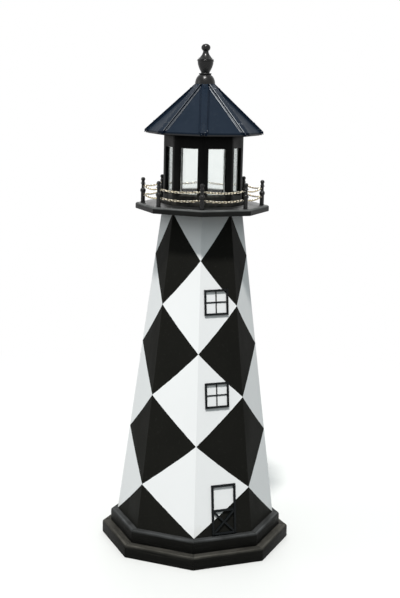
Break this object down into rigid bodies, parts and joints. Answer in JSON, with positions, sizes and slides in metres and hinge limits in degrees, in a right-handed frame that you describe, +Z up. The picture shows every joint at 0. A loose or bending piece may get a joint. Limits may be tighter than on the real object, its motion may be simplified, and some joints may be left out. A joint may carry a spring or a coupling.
{
  "type": "lighthouse ornament",
  "caption": "Garden lighthouse: tapering eight-sided tower with painted diamonds, on a stepped plinth, with a chained gallery deck, glazed lantern room and lift-off roof with a turned finial.",
  "frame": {"origin": "on the ground, at the middle of the plinth's underside", "axes": "+Z up the tower; -Y out of the side with the door and the two small windows; +X to that side's right"},
  "size_m": [0.541, 0.541, 1.5233],
  "materials": {
    "plinth_black": "weathered black paint on thick boards",
    "tower_paint": "satin paint, white with black diamonds",
    "trim_black": "gloss black paint",
    "deck_black": "weathered black paint",
    "post_black": "gloss black paint on turned wood",
    "chain_brass": "bright brass plate",
    "lantern_black": "satin black paint",
    "pane_clear": "clear acrylic sheet, slightly hazy",
    "roof_black": "satin blue-black paint",
    "cap_black": "satin black paint",
    "bare_wood": "bare softwood and plywood",
    "screw_steel": "plated steel"
  },
  "bodies": {
    "tower": {"lower_base_boards": "plinth_black", "upper_base_boards": "plinth_black", "base_screws": "screw_steel", "tower_panel_1": "tower_paint", "tower_panel_2": "tower_paint", "tower_panel_3": "tower_paint", "tower_panel_4": "tower_paint", "tower_panel_5": "tower_paint", "tower_panel_6": "tower_paint", "tower_panel_7": "tower_paint", "tower_panel_8": "tower_paint", "foot_former": "bare_wood", "middle_former": "bare_wood", "head_board": "bare_wood", "upper_window_frame": "trim_black", "upper_window_bars": "trim_black", "lower_window_frame": "trim_black", "lower_window_bars": "trim_black", "door_frame": "trim_black", "door_brace": "trim_black", "trim_pins": "screw_steel", "deck_board": "deck_black", "deck_screws": "screw_steel", "railing_posts": "post_black", "chain_eyes": "chain_brass", "upper_chain": "chain_brass", "lower_chain": "chain_brass", "lantern_wall_1": "lantern_black", "lantern_wall_2": "lantern_black", "lantern_wall_3": "lantern_black", "lantern_wall_4": "lantern_black", "lantern_wall_5": "lantern_black", "lantern_wall_6": "lantern_black", "lantern_wall_7": "lantern_black", "lantern_wall_8": "lantern_black", "lantern_panes": "pane_clear", "lantern_cleats": "bare_wood", "cleat_screws": "screw_steel", "lantern_skirt": "lantern_black"},
    "roof": {"soffit_board": "lantern_black", "locating_blocks": "bare_wood", "block_screws": "screw_steel", "roof_panel_1": "roof_black", "roof_panel_2": "roof_black", "roof_panel_3": "roof_black", "roof_panel_4": "roof_black", "roof_panel_5": "roof_black", "roof_panel_6": "roof_black", "roof_panel_7": "roof_black", "roof_panel_8": "roof_black", "hip_caps": "cap_black", "hip_cap_screws": "cap_black", "drip_edge": "cap_black", "king_block": "bare_wood", "finial": "post_black", "finial_stud": "screw_steel"}
  },
  "joints": [
    {"name": "roof_lift", "type": "slide", "parent": "tower", "child": "roof", "axis": [0, 0, 1], "range_m": [0, 0.25]}
  ]
}
